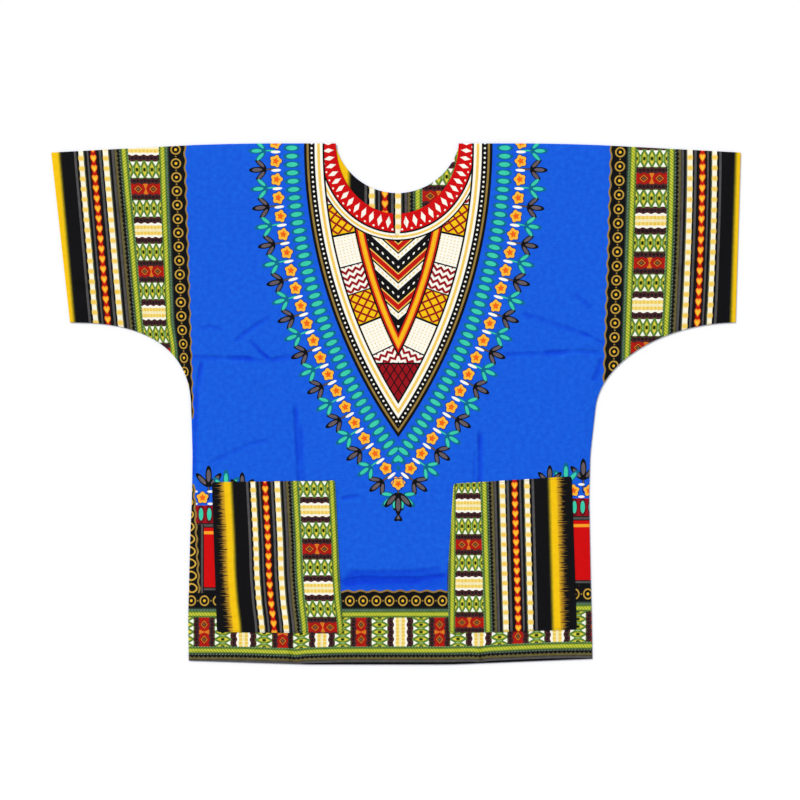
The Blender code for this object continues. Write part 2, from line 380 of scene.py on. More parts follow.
BACK_ROWS = (
    (0.9, 8.5, ((-318, 64), (-240, 62.2), (-150, 65.5), (-70, 63))),
    (0.9, 8, ((60, 66), (150, 69), (235, 66.8), (316, 70.5))),
    (1, 8.5, ((-146, 30), (-142.5, -90), (-145, -210), (-143.5, -330))),
    (1, 8, ((135, 10), (138.5, -110), (136, -220), (137, -345))),
    (0.8, 7, ((-280, 142), (-235, 118), (-185, 101))),
    (0.8, 7.5, ((276, 133), (238, 110), (196, 96))),
    (0.6, 9, ((-238, -238), (-180, -251), (-115, -246))),
    (0.7, 8.5, ((30, -262), (95, -256), (170, -260))),
    (0.6, 11, ((-475, 275), (-385, 248))),
    (0.6, 10.5, ((485, 295), (395, 262))),
)

# %% How deep a crease is at a point
STEEP_SIDE, GENTLE_SIDE = 0.75, 1.25
# the crease depth at which the painted crease shade is full
FULL_DEPTH = 0.0015
SHARP = 0.0100


def in_metres(rows):
    """Names the columns, and adds the box that each crease reaches, with room for a margin."""
    creases = []
    for row in rows:
        crease = dict(zip(COLUMNS, row))
        half = crease["half"] / 1000
        path = [(x / 1000, y / 1000) for x, y in crease["path"]]
        xs, ys = zip(*path)
        reach = half * GENTLE_SIDE + 0.003
        box = (min(xs) - reach, max(xs) + reach, min(ys) - reach, max(ys) + reach)
        creases.append({"depth": crease["depth"] / 1000, "half": half, "path": path, "box": box})
    return creases


def nearest_on(path, x, y):
    """Distance to a path, the share of it before the nearest point, and whether that is on the steep side."""
    best, best_along, steep = math.inf, 0.0, False
    for k, ((ax, ay), (bx, by)) in enumerate(zip(path, path[1:])):
        run_x, run_y = bx - ax, by - ay
        share = ((x - ax) * run_x + (y - ay) * run_y) / (run_x**2 + run_y**2)
        share = min(max(share, 0.0), 1.0)
        off_x, off_y = x - ax - share * run_x, y - ay - share * run_y
        away = math.hypot(off_x, off_y)
        if away < best:
            best, best_along, steep = away, (k + share) / (len(path) - 1), off_y > off_x
    return best, best_along, steep


def creases_near(x, y, creases):
    for k, crease in enumerate(creases):
        x0, x1, y0, y1 = crease["box"]
        if x0 < x < x1 and y0 < y < y1:
            yield (k, crease, *nearest_on(crease["path"], x, y))


def crease_depth(x, y, creases):
    """How far all the creases together press the cloth in at a point. A rise is negative."""
    total = 0.0
    for k, crease, away, along, steep in creases_near(x, y, creases):
        half = crease["half"] * (STEEP_SIDE if steep else GENTLE_SIDE)
        if away < half:
            ends = eased(min(along, 1 - along) * 7)
            uneven = 0.85 + 0.55 * noise.noise((x * 38, y * 38, 3.7 * k))
            trough = (1 - away / half) ** 2 * (1 + 2 * away / half)
            total += crease["depth"] * ends * uneven * trough
    return total


def in_a_crease(x, y, margin, creases):
    near = creases_near(x, y, creases)
    return any(crease["half"] < SHARP and away < crease["half"] + margin for _, crease, away, *_ in near)


CREASES, BACK_CREASES = in_metres(FRONT_ROWS), in_metres(BACK_ROWS)
print("creases in the front:", len(CREASES), "in the back:", len(BACK_CREASES))

# %% [markdown]
# ## How the front lies
#
# At its seams the front lies on the back. Between them it stands a few millimetres off it, as cloth with
# air under it does, and very slow waves keep it from being a perfect cushion.

# %% Height of the front's underside
PUFF_HEIGHT = 0.0022
PUFF_EDGE = 0.060
WAVE_HEIGHT = 0.0006
SEAM_DIP, SEAM_DIP_WIDTH = 0.0004, 0.0040
FACING_SLOPE = 0.030


def front_underside(x, y, from_edge, from_seam):
    puff = 1 - math.exp(-2.5 * from_edge / PUFF_EDGE)
    wave = 0.5 + 0.5 * math.sin(20.27 * x + 1.1) * math.cos(27.32 * y - 0.6)
    ripple = noise.noise((x * 14, y * 11, 5.1)) * 0.0005 + noise.noise((x * 45, y * 40, 9.3)) * 0.00018
    from_neck = math.hypot(x - MIDDLE_X, y - HALF_LENGTH - BACK_NECK_RISE)
    on_facing = 1 - eased((from_neck - FACING_RADIUS - FACING_SLOPE) / FACING_SLOPE)
    settled = puff * (PUFF_HEIGHT * (1 - 0.5 * on_facing) + WAVE_HEIGHT * wave + ripple)
    pressed = crease_depth(x, y, CREASES) * (0.35 + 0.65 * puff)
    sewn = SEAM_DIP * eased(1 - from_seam / SEAM_DIP_WIDTH)
    lift = max(settled - pressed - sewn, 0.0)
    return CLOTH + SEAM_GAP + LEAST_GAP + FACING_LIFT * on_facing + lift


print("height at the chest, mm:", round(1000 * front_underside(0.15, 0.15, from_edge=0.2, from_seam=0.2), 2))

# %% [markdown]
# ## Where each part of the print sits
#
# A print is straight on the bolt, but the cut pieces carry it a little askew, so its bands lean on the
# sleeves and pockets. Each face corner gets a place on the print, in a UV map: how far it is from the outer
# edge of the border's black band, and how far along the border. A material that reads the map draws
# straight bands, and they lean with the cloth. Below, `down` runs from 0 at the top of a sleeve or pocket
# to 1 at its foot, and its factors say how far a band has moved over by then.

# %% Places on the border of the sleeves and the hem
REPEAT, RIGHT_SLEEVE_REPEAT, HEM_REPEAT = 0.1275, 0.1308, 0.1214
LEFT_BLACK_EDGE, RIGHT_BLACK_EDGE = -0.5205, 0.5255
LEFT_LEAN, RIGHT_LEAN = 0.0243, 0.0082
LEFT_START, RIGHT_START, HEM_START = 0.2689, 0.2837, 0.0067
SLEEVE_TOP = 0.393
LEFT_SLEEVE_LENGTH, RIGHT_SLEEVE_LENGTH = 0.2728, 0.2635
BLOCKS_START, BLOCKS_END = 0.1054, 0.1870
HEM_EDGE, HEM_RISE = 0.4030, 0.0062
PRESS_FOLDS_X, SAG_X = (-0.155, 0.129), -0.165


def left_sleeve_place(x, y):
    """From the blocks inwards, the print gets narrower towards the foot of the sleeve."""
    down = (SLEEVE_TOP - y) / LEFT_SLEEVE_LENGTH
    across = x - LEFT_BLACK_EDGE - LEFT_LEAN * down
    if across > BLOCKS_START:
        across = BLOCKS_START + (across - BLOCKS_START) * 0.0891 / (0.0903 - 0.0162 * down)
        narrowing = min(across - BLOCKS_START, 1.5 * (BLOCKS_END - across)) / 0.049
        across += 0.0052 * max(narrowing, 0.0) * min(down, max(1.12 - down, 0.0) * 7)
    return across, LEFT_START - y


def right_sleeve_place(x, y):
    """The bands bow by up to 1.6 mm halfway down."""
    down = (SLEEVE_TOP - y) / RIGHT_SLEEVE_LENGTH
    across = RIGHT_BLACK_EDGE - RIGHT_LEAN * down - x
    bow = 0.0016 * math.sin(math.pi * min(down, 1.0))
    bow *= eased(across / 0.030) * eased((0.170 - across) / 0.050)
    return across + bow, (RIGHT_START - y) * REPEAT / RIGHT_SLEEVE_REPEAT


def hem_place(x, y):
    """The bands dip at two press folds, sag at the left, and rise towards the right."""
    dip = sum(0.0016 * math.exp(-(((x - fold_x) / 0.009) ** 2)) for fold_x in PRESS_FOLDS_X)
    sag = 0.0024 * math.exp(-(((x - SAG_X) / 0.055) ** 2))
    rise = eased((x - 0.06) / 0.22)
    up = (y - HEM_RISE * rise + HEM_EDGE) * (1 - 0.041 * rise)
    across = 0.0761 + 1.055 * up + dip + sag
    return across - 0.09 * max(across - 0.160, 0.0), (x - HEM_START) * REPEAT / HEM_REPEAT


# %% Places on the border of the pockets and the facing
POCKET_TOP, POCKET_LENGTH = -0.1209, 0.2325
LEFT_POCKET_EDGE, RIGHT_POCKET_EDGE = -0.2527, 0.2353
LEFT_POCKET_LEAN, RIGHT_POCKET_LEAN = 0.0124, 0.0062
LEFT_POCKET_START, RIGHT_POCKET_START, FACING_START = -0.1635, -0.1573, 0.322
RIGHT_POCKET_REPEAT = 0.1203


def left_pocket_place(x, y):
    down = (POCKET_TOP - y) / POCKET_LENGTH
    across = x - LEFT_POCKET_EDGE - LEFT_POCKET_LEAN * down
    bow = 0.0008 + 0.0012 * math.exp(-(((down - 0.62) / 0.16) ** 2)) - 0.0022 * eased((down - 0.78) / 0.2)
    return across * (0.99 + 0.26 * across) + bow, (LEFT_POCKET_START - y) * REPEAT / HEM_REPEAT


def right_pocket_place(x, y):
    down = (POCKET_TOP - y) / POCKET_LENGTH
    across = RIGHT_POCKET_EDGE + RIGHT_POCKET_LEAN * down - x
    lean = 0.207 * (0.95 - down) * max(across - BLOCKS_START, 0.0)
    along = (RIGHT_POCKET_START - y) * REPEAT / RIGHT_POCKET_REPEAT
    return across * (0.955 + 0.43 * across) + lean, along


def facing_place(x, y):
    return 0.94 * (x + 0.0713), FACING_START - y + REPEAT / 2


print("a repeat of the border, mm:", 1000 * REPEAT)

# %% [markdown]
# ## The yoke's own coordinates
#
# The ornament round the neck follows its own pointed outline, so two more UV maps say where a point lies on
# it. One gives the distance inside the flank's edge, negative outside it, and the length down from the
# shoulder. Each flank is one arc. The other gives the distance out from the neckline and the length round
# it.

# %% Places on the yoke
YOKE_X = 0.0035
YOKE_HALF_WIDTH = 0.146
YOKE_DEPTH = 0.455
ARC_ASIDE = (YOKE_DEPTH**2 - YOKE_HALF_WIDTH**2) / (2 * YOKE_HALF_WIDTH)
ARC_RADIUS = ARC_ASIDE + YOKE_HALF_WIDTH
NECK_SIZE = 0.102


def yoke_place(x, y):
    out, down = abs(x - YOKE_X) + ARC_ASIDE, HALF_LENGTH - y
    return ARC_RADIUS - math.hypot(out, down), ARC_RADIUS * math.atan2(down, out)


def neckline_place(x, y):
    out, down = x - MIDDLE_X, HALF_LENGTH - y
    away = math.hypot(out / NECK_HALF_WIDTH, down / NECK_DEPTH) - 1
    return NECK_SIZE * away, NECK_SIZE * math.atan2(out, down)


def length_at_tip(out):
    """Where a row that runs this many mm outside the edge meets its mirror image, in mm along the flank."""
    return 1000 * (ARC_RADIUS * math.acos(ARC_ASIDE / (ARC_RADIUS + out / 1000)))


print("flank arc, mm:", round(1000 * ARC_RADIUS), "length to the tip, mm:", round(length_at_tip(0)))

# %% [markdown]
# ## Which cloth shows where
#
# The front is one piece of cloth, but five finishes share the work of drawing its print. Each face is given
# the finish of its zone. Zones meet where the print is plain, or along the edge of a band, so no join can be
# seen.

# %% Zones of the front
LEFT_PRINT_X, LEFT_PRINT_FOOT = -0.300, -0.022
RIGHT_PRINT_X, RIGHT_PRINT_FOOT = 0.312, 0.020
LEFT_SIDE_END, RIGHT_SIDE_END = -0.2925, -0.2812
SIDE_START, STRIP_X = -0.078, 0.262
SPRIGS_X, SPRIGS_FOOT = 0.215, -0.150
HEM_PRINT_TOP = -0.2790
YOKE_PRINT_HALF, YOKE_PRINT_FOOT = 0.255, -0.190


def zone_of(x, y):
    if x < LEFT_PRINT_X and y > LEFT_PRINT_FOOT:
        return "border", left_sleeve_place
    if x > RIGHT_PRINT_X and y > RIGHT_PRINT_FOOT:
        return "border", right_sleeve_place
    side_end = LEFT_SIDE_END if x < 0 else RIGHT_SIDE_END
    beside_pocket = abs(x) > STRIP_X or (abs(x) > SPRIGS_X and y > SPRIGS_FOOT)
    if beside_pocket and side_end < y < SIDE_START:
        return "side", hem_place
    if y < HEM_PRINT_TOP:
        return "border", hem_place
    if abs(x - YOKE_X) < YOKE_PRINT_HALF and y > YOKE_PRINT_FOOT:
        return "yoke", hem_place
    return "ground", hem_place


def back_zone_of(x, y):
    zone, place = zone_of(x, y)
    return ("border" if zone == "border" else "ground"), place


print("the print of the hem ends at, mm:", 1000 * HEM_PRINT_TOP)

# %% [markdown]
# ## From a flat face to cloth
#
# The flat face is inset twice, close to its border, and gets its grid. It is extruded upwards once, which
# gives a wall and a closed rim, and its points are lifted to where the cloth lies. The rings near the
# border are lowered, so that the edge reads as a turned and pressed fold. What lies on a panel is made from
# that panel's own heights, moved out, so nothing sinks into anything.

# %% Make a piece of cloth
RIM_RINGS = (0.0003, EDGE_ROUND)


def inset(bm, face, width):
    bmesh.ops.inset_region(bm, faces=[face], thickness=width, use_boundary=True, use_even_offset=True)


def rim_rings(bm):
    rim = bm.verts.layers.float.new("rim")
    for inward in RIM_RINGS:
        face = max(bm.faces, key=lambda f: len(f.verts) * 10 + f.calc_area())
        inset(bm, face, inward - face.verts[0][rim])
        for vert in face.verts:
            vert[rim] = inward
    return rim


def border_distance(bm):
    points = []
    for edge in bm.edges:
        if edge.is_boundary:
            a, b = (v.co for v in edge.verts)
            count = max(1, math.ceil((b - a).length / 0.001))
            points += [a.lerp(b, i / count) for i in range(count)]
    return near_points(points)


def make_cloth(bm, lines, underside, wall, creases=(), rounds=()):
    """lines is (across, along); underside(x, y, from_edge, from_seam) is the height of the lower side."""
    rim = rim_rings(bm)
    # the "fold" attribute keeps how deep the creases press, which the finishes paint as shade
    crease_share = bm.verts.layers.float.new("fold")
    edge_distance = border_distance(bm)
    for axis in (0, 1):
        cut_ahead(bm, axis, lines[axis])
    halve_cells(bm, rounds, creases)
    lower = bm.verts[:]
    lifted = bmesh.ops.extrude_face_region(bm, geom=bm.faces[:])
    upper = [item for item in lifted["geom"] if isinstance(item, bmesh.types.BMVert)]
    for verts, height, rounding in ((lower, 0.0, 0.15), (upper, 1.0, -0.55)):
        for vert in verts:
            x, y, _ = vert.co
            turn = 1 - min(vert[rim] / EDGE_ROUND, 1.0)
            turned = 1 - math.sqrt(max(0.0, 1 - turn * turn))
            low = underside(x, y, edge_distance(x, y), seam_distance(x, y))
            vert.co.z = low + wall * (height + rounding * turned)
            # share of a crease's full depth, darkened by the finishes as painted shade
            vert[crease_share] = min(max(crease_depth(x, y, creases) / FULL_DEPTH, 0.0), 1.2)
    bmesh.ops.recalc_face_normals(bm, faces=bm.faces)
    bm.normal_update()
    return bm


# %% [markdown]
# ## UV maps and finishes on a piece
#
# Every piece gets the maps that its materials read, and a map of its own for baking, called OFBake. There
# the side that is seen takes three quarters of the square. Below it is a strip for the hidden side, at the
# left, and for the rim's small faces, each in a cell of its own.

# %% Lay a piece out for baking
MAP_MARGIN = 0.005
SEEN_HEIGHT, STRIP_HEIGHT = 0.745, 0.235
HIDDEN_WIDTH, RIMS_LEFT, RIMS_WIDTH = 0.320, 0.345, 0.65
CELL_CORNERS = ((0, 0), (1, 0), (1, 1), (0, 1))
CELL_WIDTH, CELL_HEIGHT = 0.60, 0.20  # shares that a face fills


def side_of(face):
    if face.normal.z > 0.35:
        return "upper"
    return "lower" if face.normal.z < -0.35 else "rim"


def box_of(bm):
    xs, ys = [v.co.x for v in bm.verts], [v.co.y for v in bm.verts]
    return min(xs), max(xs), min(ys), max(ys)


def lay_for_baking(bm, seen):
    bake = bm.loops.layers.uv.new("OFBake")
    low_x, high_x, low_y, high_y = box_of(bm)
    width, height = high_x - low_x, high_y - low_y
    large = min((1 - 2 * MAP_MARGIN) / width, SEEN_HEIGHT / height)
    small = min(HIDDEN_WIDTH / width, STRIP_HEIGHT / height)
    for face in bm.faces:
        scale, top = (large, 1 - MAP_MARGIN) if side_of(face) == seen else (small, MAP_MARGIN + STRIP_HEIGHT)
        for loop in face.loops:
            x, y = loop.vert.co.x - low_x, high_y - loop.vert.co.y
            loop[bake].uv = (MAP_MARGIN + scale * x, top - scale * y)
    rims = [face for face in bm.faces if side_of(face) == "rim"]
    columns = max(1, math.ceil(math.sqrt(3.0 * len(rims))))
    rows = max(1, math.ceil(len(rims) / columns))
    for i, face in enumerate(rims):
        u = RIMS_LEFT + RIMS_WIDTH * (i % columns) / columns
        v = MAP_MARGIN + STRIP_HEIGHT * (i // columns) / rows
        for k, loop in enumerate(face.loops):
            right, up = CELL_CORNERS[k % 4]
            loop[bake].uv = (u + CELL_WIDTH * right / columns, v + CELL_HEIGHT * up / rows)


# %% Give a piece its maps and finishes


def add_piece(name, bm, finishes):
    for face in bm.faces:
        face.smooth = True
    mesh = bpy.data.meshes.new(name)
    bm.to_mesh(mesh)
    bm.free()
    for finish in finishes:
        mesh.materials.append(finish)
    piece = add_object(name, mesh)
    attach(piece, "root")
    heights = [round(1000 * v.co.z, 2) for v in mesh.vertices]
    print("  ", name, "faces", len(mesh.polygons), "heights, mm:", min(heights), max(heights))
    return piece


def dress(name, bm, zones, finishes, seen="upper"):
    """zones(x, y) gives a face's finish and its place on the print. The side not seen is the wrong side."""
    border, yoke, neckline = (bm.loops.layers.uv.new(key) for key in ("border", "yoke", "neckline"))
    names = list(finishes)
    for face in bm.faces:
        middle = face.calc_center_median()
        zone, place = zones(middle.x, middle.y)
        if side_of(face) not in (seen, "rim"):
            zone = "reverse"
        face.material_index = names.index(zone)
        for loop in face.loops:
            x, y = loop.vert.co.x, loop.vert.co.y
            loop[border].uv = place(x, y)
            if zone == "yoke":
                loop[yoke].uv = yoke_place(x, y)
                loop[neckline].uv = neckline_place(x, y)
    lay_for_baking(bm, seen)
    return add_piece(name, bm, finishes.values())


# %% [markdown]
# ## Mixing the finishes
#
# A material here is a long recipe of small sums. A `Value` stands for what one node gives, and a sum of
# values adds the node that works it out, so a recipe reads like plain arithmetic. A comparison gives a
# mask, which is 1 where it is true, and `&` joins two masks.

# %% Values that write nodes


def sum_of(operation):
    return lambda *values: math_node(operation, *values)


class Value:
    def __init__(self, node, output=0):
        self.tree = node.id_data
        self.socket = node.outputs[output]

    def __rsub__(self, other):
        return math_node("SUBTRACT", other, self)

    __add__ = __radd__ = sum_of("ADD")
    __sub__ = sum_of("SUBTRACT")
    __mul__ = __rmul__ = __and__ = sum_of("MULTIPLY")
    __truediv__ = sum_of("DIVIDE")
    __lt__ = sum_of("LESS_THAN")
    __gt__ = sum_of("GREATER_THAN")
    __abs__ = sum_of("ABSOLUTE")


def feed(socket, given):
    if isinstance(given, Value):
        given.tree.links.new(given.socket, socket)
    else:
        socket.default_value = given


def add_node(tree, kind, inputs=(), **settings):
    """Adds a node. Its inputs, by name or number, are given numbers, colours or values."""
    node = tree.nodes.new(kind)
    for key, setting in settings.items():
        setattr(node, key, setting)
    for key, given in dict(inputs).items():
        feed(node.inputs[key], given)
    return node


def math_node(operation, *values):
    tree = next(value.tree for value in values if isinstance(value, Value))
    return Value(add_node(tree, "ShaderNodeMath", enumerate(values), operation=operation))


cosine, root = sum_of("COSINE"), sum_of("SQRT")
least, most = sum_of("MINIMUM"), sum_of("MAXIMUM")


# %% Distances in a repeat


def wrap(value, span):
    """Counts from 0 to a span, again and again."""
    return math_node("WRAP", value, span, 0.0)


def fold(value, half):
    """Distance from the nearest of many places, which are twice a half apart."""
    return math_node("PINGPONG", value, half)


def beat(value, pitch, start=0.0):
    """Signed distance from the nearest of many places, which are a pitch apart."""
    return math_node("WRAP", value - start, 0.5 * pitch, -0.5 * pitch)


def oval(first, first_half, second, second_half):
    """Below 1 inside an oval."""
    a, b = first / first_half, second / second_half
    return a * a + b * b


# %% Paint


def paint(under, colour, mask):
    mix = add_node(mask.tree, "ShaderNodeMix", {0: mask}, data_type="RGBA")
    feed(mix.inputs[6], under)
    feed(mix.inputs[7], colour)
    return Value(mix, 2)


def stamp(under, masks, *dyes):
    """Paints a motif's masks, from the outermost inwards, each with its own dye."""
    for mask, dyed in zip(masks, dyes):
        under = paint(under, dyed, mask)
    return under


def bands(value, low, high, steps, blended=False):
    """A colour for each band of a value between low and high: steps are (start, colour) pairs."""
    ramp = add_node(value.tree, "ShaderNodeValToRGB", {0: (value - low) / (high - low)})
    ramp.color_ramp.interpolation = "LINEAR" if blended else "CONSTANT"
    points = ramp.color_ramp.elements
    for k, (start, colour) in enumerate(steps):
        place = min(max((start - low) / (high - low), 0.0), 1.0)
        point = points[k] if k < 2 else points.new(place)
        point.position = place
        point.color = colour
    return Value(ramp)


# %% Node groups


def socket_kind(is_colour):
    return "NodeSocketColor" if is_colour else "NodeSocketFloat"


def node_group(build):
    """Makes a node group of a function: its arguments are the inputs, and the list it returns the outputs.

    An argument called color is a colour, and every other one is a number.
    """
    title = build.__name__.replace("_", " ").title()
    group = bpy.data.node_groups.new(title, "ShaderNodeTree")
    for name in inspect.signature(build).parameters:
        group.interface.new_socket(name, in_out="INPUT", socket_type=socket_kind(name == "color"))
    given = group.nodes.new("NodeGroupInput")
    answers = build(*(Value(given, k) for k in range(len(given.outputs) - 1)))
    for k, answer in enumerate(answers):
        is_colour = answer.socket.type == "RGBA"
        group.interface.new_socket(f"Answer {k}", in_out="OUTPUT", socket_type=socket_kind(is_colour))
    add_node(group, "NodeGroupOutput", enumerate(answers))
    print("   node group:", title)

    def use(*places, **sizes):
        values = inspect.signature(build).bind(*places, **sizes).arguments.values()
        tree = next(value.tree for value in values if isinstance(value, Value))
        node = add_node(tree, "ShaderNodeGroup", enumerate(values), node_tree=group)
        return [Value(node, k) for k in range(len(answers))]

    return use


# %% [markdown]
# ## Dyes
#
# A wax print is made with a few strong dyes, so the palette is short. Dyes are mixed here as they look,
# from 0 to 255, and turned into the light values that Blender works with.

# %% The dyes


def dye(red, green, blue):
    light = [c / 255 for c in (red, green, blue)]
    light = [c / 12.92 if c <= 0.04045 else ((c + 0.055) / 1.055) ** 2.4 for c in light]
    return (*light, 1.0)


BLUE = dye(17, 91, 221)
DEEP_BLUE = dye(10, 42, 140)
TEAL = dye(58, 204, 170)
DEEP_TEAL = dye(8, 104, 140)
LIME = dye(200, 202, 61)
LEAF = dye(92, 130, 52)
MOSS = dye(80, 114, 74)
OLIVE = dye(98, 90, 52)
GOLD = dye(148, 120, 58)
STRAW = dye(242, 203, 96)
YELLOW = dye(244, 196, 12)
AMBER = dye(253, 186, 52)
ORANGE = dye(248, 160, 36)
FLAME = dye(236, 98, 20)
BRIGHT_RED = dye(206, 3, 6)
RED = dye(194, 20, 10)
BRICK = dye(176, 20, 10)
CRIMSON = dye(150, 12, 24)
BROWN = dye(72, 36, 38)
TWIG = dye(98, 88, 96)
GREY = dye(80, 78, 78)
BLACK = dye(9, 9, 12)
CREAM = dye(249, 244, 220)
WHITE = dye(250, 248, 236)
ROSETTE_DYES = (DEEP_BLUE, AMBER, FLAME)
print("dyes are mixed")

# %% [markdown]
# ## Small motifs
#
# The print is built from a few motifs that repeat along a band. Each is one node group that answers "is
# this point on the motif?", from the distance across its band and the distance along it, so a band can use
# it at any size and spacing. A motif with several masks lists them from the outermost inwards.

# %% Patches, dots, hearts and rings


@node_group
def patch_row(across, along, half_width, half_length, pitch):
    fill = oval(across, 1.6 * half_width, fold(along, 0.5 * pitch), half_length)
    soft = least(most(1.3 * (1.0 - fill), 0.0), 1.0)
    return [soft & (abs(across) < half_width)]


@node_group
def dot_row(across, along, radius, pitch):
    return [oval(across, radius, fold(along, 0.5 * pitch), radius) < 1.0]


@node_group
def heart_row(across, along, size, pitch):
    """The heart, and how near its edge a point is, from 0 in its middle to 1."""
    out = abs(across) / (0.88 * size)
    up = -1.0 * beat(along, pitch) / size
    lobe = up - 0.72 * root(out)
    inside = out * out + lobe * lobe
    return [inside < 0.62, inside / 0.62]


@node_group
def ring_row(across, along, radius, line, pitch):
    reach = root(oval(across, 1.0, fold(along, 0.5 * pitch), 1.0))
    return [abs(reach - radius) < line, reach < 0.32 * radius]


# %% Petals, rosettes and sprigs of three pointed leaves


@node_group
def petal_row(across, along, half_length, half_width, pitch):
    fill = oval(across, half_length, fold(along, 0.5 * pitch), half_width)
    return [fill < 1.25, fill < 0.55]


@node_group
def rosette_row(across, along, radius, pitch):
    beside = beat(along, pitch)
    reach = root(oval(across, 1.0, beside, 1.0)) / radius
    scallop = 0.76 + 0.10 * cosine(5.0 * math_node("ARCTAN2", beside, across))
    return [reach < scallop + 0.12, reach < scallop, reach < scallop - 0.40]


@node_group
def sprig_row(across, along, size, pitch):
    aside, up = fold(along, 0.5 * pitch) / size, across / size
    middle_leaf = oval(aside, 0.13, up - 0.62, 0.40)
    lean_x, lean_y = aside - 0.30, up - 0.42
    side_leaf = oval(0.67 * lean_x + 0.74 * lean_y, 0.36, 0.74 * lean_x - 0.67 * lean_y, 0.12)
    stem = oval(aside, 0.05, up + 0.12, 0.34)
    fill = least(least(middle_leaf, side_leaf), stem)
    return [fill < 1.30, fill < 0.50]


# %% [markdown]
# ## The border
#
# The same border runs up both sleeves, along the hem, over both pockets and round the facing. From its
# outer edge: yellow, black, two patched white stripes with a row of hearts between them, a dotted line,
# then a column of blocks between two woven edges, closed by a band of rings. One ramp of flat colours lays
# the ground of all the bands, and the motifs are painted over it.

# %% The ground of the border
BORDER_START, BORDER_END = -30.0, 200.0
GROUND_BANDS = (
    (BORDER_START, YELLOW), (-4.2, dye(204, 172, 18)), (-2.4, dye(140, 122, 16)), (-0.7, dye(62, 56, 10)),
    (0.9, BLACK), (20.8, GREY), (24.6, BLACK), (28.1, CREAM), (35.4, dye(84, 90, 66)), (37.2, BLACK),
    (40.4, GREY), (43.6, BLACK), (45.4, dye(58, 10, 6)), (56.0, BLACK), (59.3, GREY), (62.8, BLACK),
    (66.0, CREAM), (73.9, dye(84, 88, 68)), (75.7, BLACK), (79.1, GREY), (82.4, dye(44, 40, 28)),
    (83.9, OLIVE), (88.0, dye(34, 38, 31)), (92.0, dye(60, 72, 58)), (94.0, MOSS),
    (163.6, dye(74, 100, 78)), (165.2, dye(38, 52, 44)), (166.8, BLACK), (190.3, GOLD), (193.3, BLUE),
)
WAVY_FROM, WAVE_DEPTH = 180.0, 1.1


def border_ground(across, along, ring_pitch):
    wave = WAVE_DEPTH * cosine(2 * math.pi * (along / ring_pitch))
    return bands(across - (wave & (across > WAVY_FROM)), BORDER_START, BORDER_END, GROUND_BANDS)


# %% The stripes of the border
PATCHED_STRIPES = (31.8, 70.0)
HEART_STRIPE, HEART_STRIPE_HALF = 50.9, 3.0
DOTTED_LINE = 89.6
HEART_GLOW = ((0.0, dye(255, 206, 56)), (0.35, dye(253, 178, 40)), (1.0, dye(226, 66, 14)))


def paint_stripes(colour, across, along):
    for middle in PATCHED_STRIPES:
        patches = patch_row(across - middle, along, half_width=4.4, half_length=5.0, pitch=15.9)
        colour = stamp(colour, patches, dye(244, 207, 94))
    colour = paint(colour, RED, abs(across - HEART_STRIPE) < HEART_STRIPE_HALF)
    hearts, edge = heart_row(across - HEART_STRIPE, along, size=7.0, pitch=15.6)
    colour = paint(colour, bands(edge, 0.0, 1.0, HEART_GLOW, blended=True), hearts)
    return stamp(colour, dot_row(across - DOTTED_LINE, along, radius=2.4, pitch=7.2), BLACK)


# %% The woven edges of the border
WOVEN_EDGES = ((98.7, -1.0), (158.0, 1.0))  # the middle, and the way that is out
STROKE, STROKE_LEAN = 4.9, 0.8
# How far out each row of teeth is, their radius and their dye
TEETH = (
    (-4.6, 0.9, dye(30, 72, 34)), (4.6, 0.9, dye(34, 66, 46)),
    (-5.9, 0.8, dye(136, 164, 116)), (6.2, 1.0, dye(108, 128, 106)),
)


def paint_woven_edges(colour, across, along):
    for middle, outward in WOVEN_EDGES:
        off = (across - middle) * outward
        slope = along + STROKE_LEAN * (across - middle)
        stroke = fold(slope, STROKE / 2) < 0.55 + 0.30 * abs(off)
        colour = paint(colour, dye(98, 128, 50), abs(off + 0.4) < 4.8)
        colour = paint(colour, LIME, abs(off) < 2.6)
        colour = paint(colour, dye(128, 148, 34), (abs(off) < 3.1) & stroke)
        for out, radius, thread in TEETH:
            beside = along + STROKE_LEAN * outward * out
            colour = stamp(colour, dot_row(off - out, beside, radius=radius, pitch=STROKE), thread)
    return colour


# %% [markdown]
# ### The blocks
#
# Each repeat of the column has a cream block, a green one with lozenges and white teeth, a red one, and a
# green one again, with dark beaded lines between them. It mirrors at the middle of the cream block, so the
# distance from there is all that its recipe needs.

# %% The blocks of the border
BLOCK_MIDDLE, BLOCK_HALF = 129.0, 23.6
BEAT = 11.8
HALF_REPEAT = 500 * REPEAT
GREEN_MIDDLE = 33.7
BEADED_LINES = (15.5, 51.1)
BLOCK_BANDS = (
    (0.0, dye(243, 232, 184)), (7.4, dye(248, 246, 234)), (10.8, BROWN), (20.0, LEAF), (47.0, BROWN),
    (55.6, BRICK),
)


def cream_and_green_blocks(place, from_cream):
    ripple = 0.9 * cosine(place * (2 * math.pi / BEAT))
    block = bands(from_cream + ripple, 0.0, 70.0, BLOCK_BANDS)
    from_lozenge = abs(beat(place, BEAT))
    from_tooth = BEAT / 2 - from_lozenge
    from_green = abs(from_cream - GREEN_MIDDLE)
    lozenge = from_lozenge / 4.9 + from_green / 10.8
    block = paint(block, dye(142, 152, 36), lozenge < 1.0)
    block = paint(block, dye(218, 204, 68), (lozenge < 0.90) & (from_green > 3.2))
    block = paint(block, dye(14, 34, 14), oval(from_lozenge, 1.8, from_green, 2.8) < 1.0)
    block = paint(block, dye(150, 186, 120), (abs(from_tooth) < 0.8) & (from_green < 3.4))
    tooth = (12.6 - from_green) / 7.0 + from_tooth / 3.9
    block = paint(block, WHITE, (from_green < 12.4) & (tooth < 1.0))
    lines = abs(from_cream - 4.6) < 2.5
    block = paint(block, dye(244, 222, 134), lines)
    block = paint(block, dye(236, 200, 84), lines & (fold(place, BEAT / 4) < BEAT / 6))
    for line in BEADED_LINES:
        beads = dot_row(from_cream - line, place, radius=2.4, pitch=BEAT / 2)
        block = stamp(block, beads, dye(34, 18, 22))
    return block


